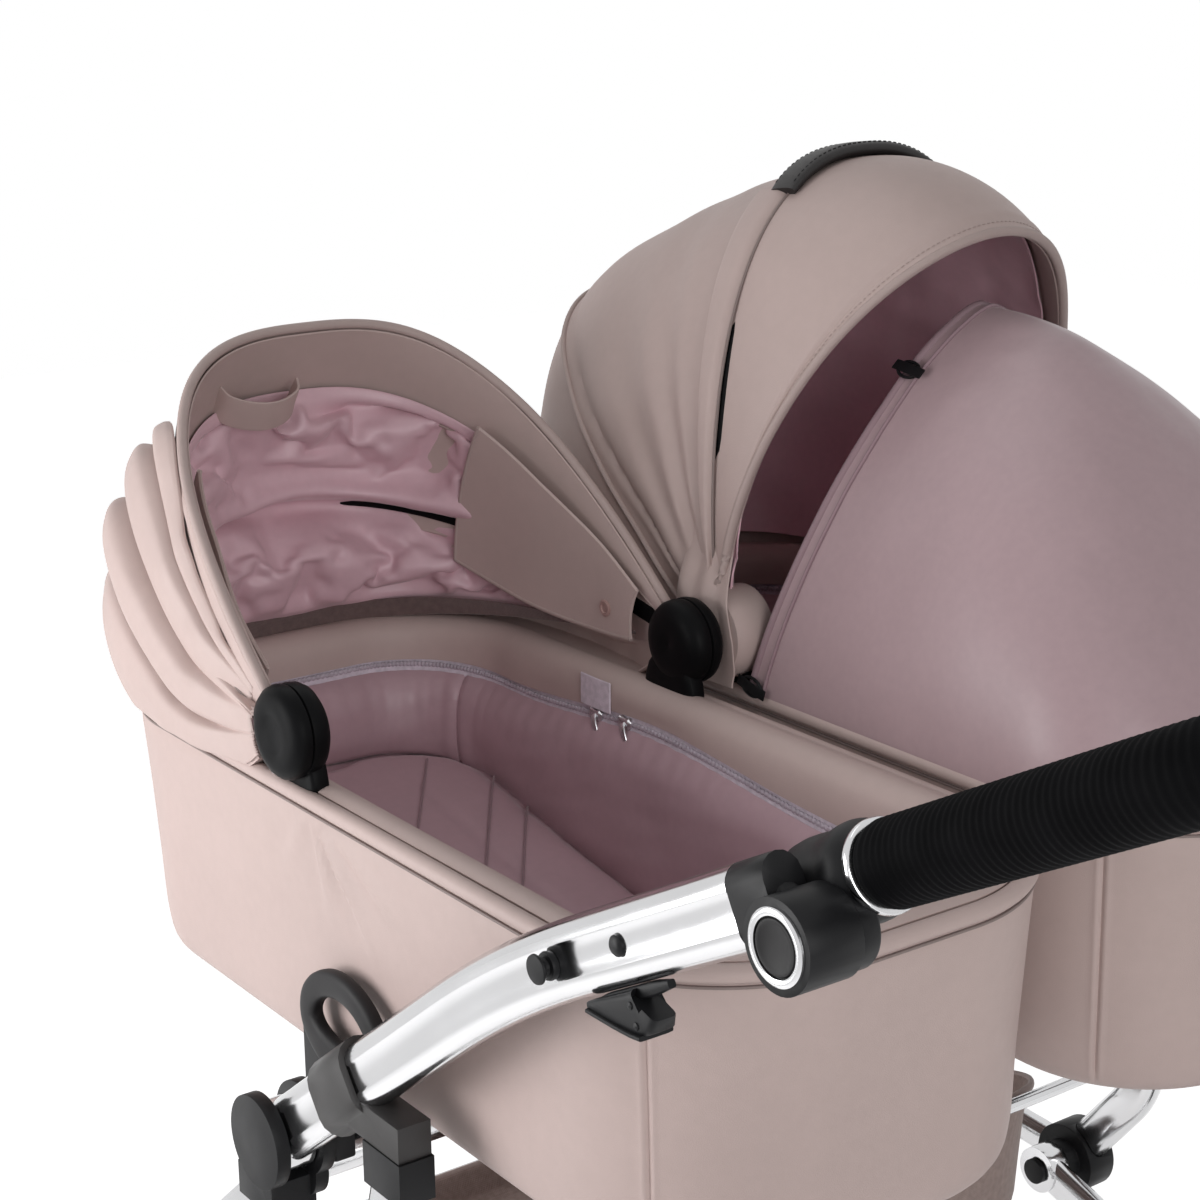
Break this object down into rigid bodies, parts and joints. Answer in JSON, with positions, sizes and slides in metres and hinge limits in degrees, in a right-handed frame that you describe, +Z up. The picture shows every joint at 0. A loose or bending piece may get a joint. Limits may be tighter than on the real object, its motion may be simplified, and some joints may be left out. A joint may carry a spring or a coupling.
{
  "type": "twin pram",
  "caption": "Twin pram: carrycots side by side with folding hoods on a folding chrome frame with swivel front wheels, tilting push handle, foot brake and shopping basket.",
  "frame": {"origin": "on the floor under the middle of the whole pram's box", "axes": "+Z up, +Y the way it travels (the hoods' end), +X to the pusher's right"},
  "size_m": [0.886, 1.3099, 1.2225],
  "materials": {
    "chrome_tube": "polished",
    "black_plastic": "fine matt grain",
    "soft_black": "stitched leatherette",
    "leatherette": "fine grain",
    "satin": "satin",
    "mattress_cloth": "quilted satin",
    "basket_cloth": "fine grain",
    "steel": "bright",
    "aluminium_tube": "drawn",
    "wheel_plastic": "silver",
    "tyre": "ribbed",
    "button_plastic": "gloss"
  },
  "bodies": {
    "chassis": {"front_struts": "chrome_tube", "leg_tubes": "chrome_tube", "base_tubes": "chrome_tube", "fold_hubs": "black_plastic", "frame_knuckles": "black_plastic", "cross_tubes": "chrome_tube", "outer_sockets": "black_plastic", "centre_socket": "black_plastic", "stem_housings": "black_plastic", "basket": "basket_cloth"},
    "rear_frame": {"rear_legs": "chrome_tube", "rear_axle": "steel"},
    "push_frame": {"arm_left": "chrome_tube", "arm_right": "chrome_tube", "arm_collars": "black_plastic", "arm_ends": "black_plastic", "arm_fittings": "black_plastic"},
    "handle": {"handle_elbows": "black_plastic", "handle_core": "aluminium_tube", "handle_grip": "soft_black", "grip_rings": "chrome_tube"},
    "brake": {"brake_pedal": "black_plastic"},
    "button_left": {"button_left": "button_plastic"},
    "trigger_left": {"trigger_left": "black_plastic"},
    "rear_wheel_left": {"rear_tyre_left": "tyre", "rear_rim_left": "wheel_plastic"},
    "fork_left": {"fork_left": "black_plastic"},
    "front_wheel_left": {"front_tyre_left": "tyre", "front_rim_left": "wheel_plastic"},
    "carrycot_left": {"shell_left": "leatherette", "liner_left": "satin", "mattress_left": "mattress_cloth", "cot_base_left": "black_plastic", "hinge_hubs_left": "black_plastic", "hood_back_left": "leatherette"},
    "release_left": {"release_loops_left": "black_plastic"},
    "hood_left": {"hood_bow_left": "steel", "hood_front_left": "leatherette", "carry_handle_left": "soft_black"},
    "hood_mid_left": {"hood_mid_left": "leatherette"},
    "button_right": {"button_right": "button_plastic"},
    "trigger_right": {"trigger_right": "black_plastic"},
    "rear_wheel_right": {"rear_tyre_right": "tyre", "rear_rim_right": "wheel_plastic"},
    "fork_right": {"fork_right": "black_plastic"},
    "front_wheel_right": {"front_tyre_right": "tyre", "front_rim_right": "wheel_plastic"},
    "carrycot_right": {"shell_right": "leatherette", "liner_right": "satin", "mattress_right": "mattress_cloth", "cot_base_right": "black_plastic", "hinge_hubs_right": "black_plastic", "hood_back_right": "leatherette", "apron_right": "satin"},
    "release_right": {"release_loops_right": "black_plastic"},
    "hood_right": {"hood_bow_right": "steel", "hood_front_right": "leatherette", "carry_handle_right": "soft_black"},
    "hood_mid_right": {"hood_mid_right": "leatherette"}
  },
  "joints": [
    {"name": "chassis_fold", "type": "hinge", "parent": "chassis", "child": "push_frame", "pos_m": [0, 0.23731, 0.545], "axis": [-1, 0, 0], "range_deg": [0, 140]},
    {"name": "rear_fold", "type": "hinge", "parent": "chassis", "child": "rear_frame", "pos_m": [0, 0.21731, 0.258], "axis": [1, 0, 0], "range_deg": [0, 75]},
    {"name": "handle_tilt", "type": "hinge", "parent": "push_frame", "child": "handle", "pos_m": [0, -0.34569, 0.909], "axis": [1, 0, 0], "range_deg": [-40, 40]},
    {"name": "brake_press", "type": "hinge", "parent": "rear_frame", "child": "brake", "pos_m": [0, -0.13269, 0.15], "axis": [1, 0, 0], "range_deg": [0, 20]},
    {"name": "button_left_press", "type": "slide", "parent": "push_frame", "child": "button_left", "axis": [1, 0, 0], "range_m": [0, 0.003], "stiffness_N_per_m": 800},
    {"name": "trigger_left_pull", "type": "slide", "parent": "push_frame", "child": "trigger_left", "axis": [0, -0.8778, 0.4791], "range_m": [0, 0.016], "stiffness_N_per_m": 400},
    {"name": "rear_wheel_left_roll", "type": "hinge", "parent": "rear_frame", "child": "rear_wheel_left", "pos_m": [-0.414, -0.13269, 0.15], "axis": [1, 0, 0], "continuous": true},
    {"name": "fork_left_swivel", "type": "hinge", "parent": "chassis", "child": "fork_left", "pos_m": [-0.33, 0.54531, 0.27], "axis": [0, 0, 1], "continuous": true},
    {"name": "front_wheel_left_roll", "type": "hinge", "parent": "fork_left", "child": "front_wheel_left", "pos_m": [-0.33, 0.50031, 0.115], "axis": [1, 0, 0], "continuous": true},
    {"name": "carrycot_left_lift", "type": "slide", "parent": "chassis", "child": "carrycot_left", "axis": [0, 0, 1], "range_m": [0, 0.25]},
    {"name": "release_left_pull", "type": "slide", "parent": "carrycot_left", "child": "release_left", "axis": [0, 0, 1], "range_m": [0, 0.01], "stiffness_N_per_m": 600},
    {"name": "hood_left_turn", "type": "hinge", "parent": "carrycot_left", "child": "hood_left", "pos_m": [-0.201, 0.26496, 0.843], "axis": [1, 0, 0], "range_deg": [0, 70]},
    {"name": "hood_left_mid_turn", "type": "hinge", "parent": "carrycot_left", "child": "hood_mid_left", "pos_m": [-0.201, 0.26496, 0.843], "axis": [1, 0, 0], "range_deg": [0, 42]},
    {"name": "button_right_press", "type": "slide", "parent": "push_frame", "child": "button_right", "axis": [-1, 0, 0], "range_m": [0, 0.003], "stiffness_N_per_m": 800},
    {"name": "trigger_right_pull", "type": "slide", "parent": "push_frame", "child": "trigger_right", "axis": [0, -0.8778, 0.4791], "range_m": [0, 0.016], "stiffness_N_per_m": 400},
    {"name": "rear_wheel_right_roll", "type": "hinge", "parent": "rear_frame", "child": "rear_wheel_right", "pos_m": [0.414, -0.13269, 0.15], "axis": [1, 0, 0], "continuous": true},
    {"name": "fork_right_swivel", "type": "hinge", "parent": "chassis", "child": "fork_right", "pos_m": [0.33, 0.54531, 0.27], "axis": [0, 0, 1], "continuous": true},
    {"name": "front_wheel_right_roll", "type": "hinge", "parent": "fork_right", "child": "front_wheel_right", "pos_m": [0.33, 0.50031, 0.115], "axis": [1, 0, 0], "continuous": true},
    {"name": "carrycot_right_lift", "type": "slide", "parent": "chassis", "child": "carrycot_right", "axis": [0, 0, 1], "range_m": [0, 0.25]},
    {"name": "release_right_pull", "type": "slide", "parent": "carrycot_right", "child": "release_right", "axis": [0, 0, 1], "range_m": [0, 0.01], "stiffness_N_per_m": 600},
    {"name": "hood_right_turn", "type": "hinge", "parent": "carrycot_right", "child": "hood_right", "pos_m": [0.201, 0.26496, 0.843], "axis": [1, 0, 0], "range_deg": [-70, 0]},
    {"name": "hood_right_mid_turn", "type": "hinge", "parent": "carrycot_right", "child": "hood_mid_right", "pos_m": [0.201, 0.26496, 0.843], "axis": [1, 0, 0], "range_deg": [-42, 0]}
  ],
  "couplings": [
    {"joint": "rear_fold", "follows": "chassis_fold", "ratio": 0.535},
    {"joint": "hood_left_mid_turn", "follows": "hood_left_turn", "ratio": 0.6},
    {"joint": "hood_right_mid_turn", "follows": "hood_right_turn", "ratio": 0.6}
  ]
}
